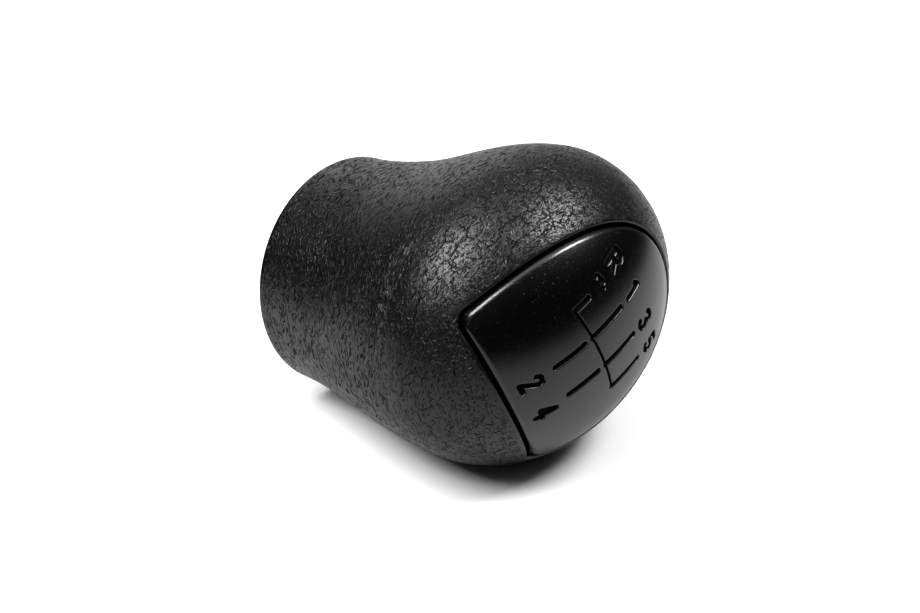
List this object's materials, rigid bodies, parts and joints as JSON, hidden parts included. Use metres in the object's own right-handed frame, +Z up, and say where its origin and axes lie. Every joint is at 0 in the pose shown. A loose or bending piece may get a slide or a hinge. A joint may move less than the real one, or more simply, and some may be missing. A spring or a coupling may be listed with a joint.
{
  "type": "gear shift knob",
  "caption": "Grained gear shift knob with a round hollow neck, a wide leaning head and a smooth snap-in insert engraved with a shift pattern; pushes onto a lever.",
  "frame": {"origin": "centre of the lever bore's mouth, level with the neck's flat rim", "axes": "+Z up the lever axis towards the head, +Y towards the front of the car, +X to the driver's right, towards fifth gear"},
  "size_m": [0.0508, 0.057, 0.0599],
  "materials": {
    "grained_grip": "black moulded plastic with a leather-like grain",
    "satin_insert": "smooth satin black plastic with engraved lines",
    "sleeve_plastic": "plain dark grey moulded plastic"
  },
  "bodies": {
    "root": {"grip_body": "grained_grip", "pattern_insert": "satin_insert", "lever_sleeve": "sleeve_plastic"}
  },
  "joints": []
}
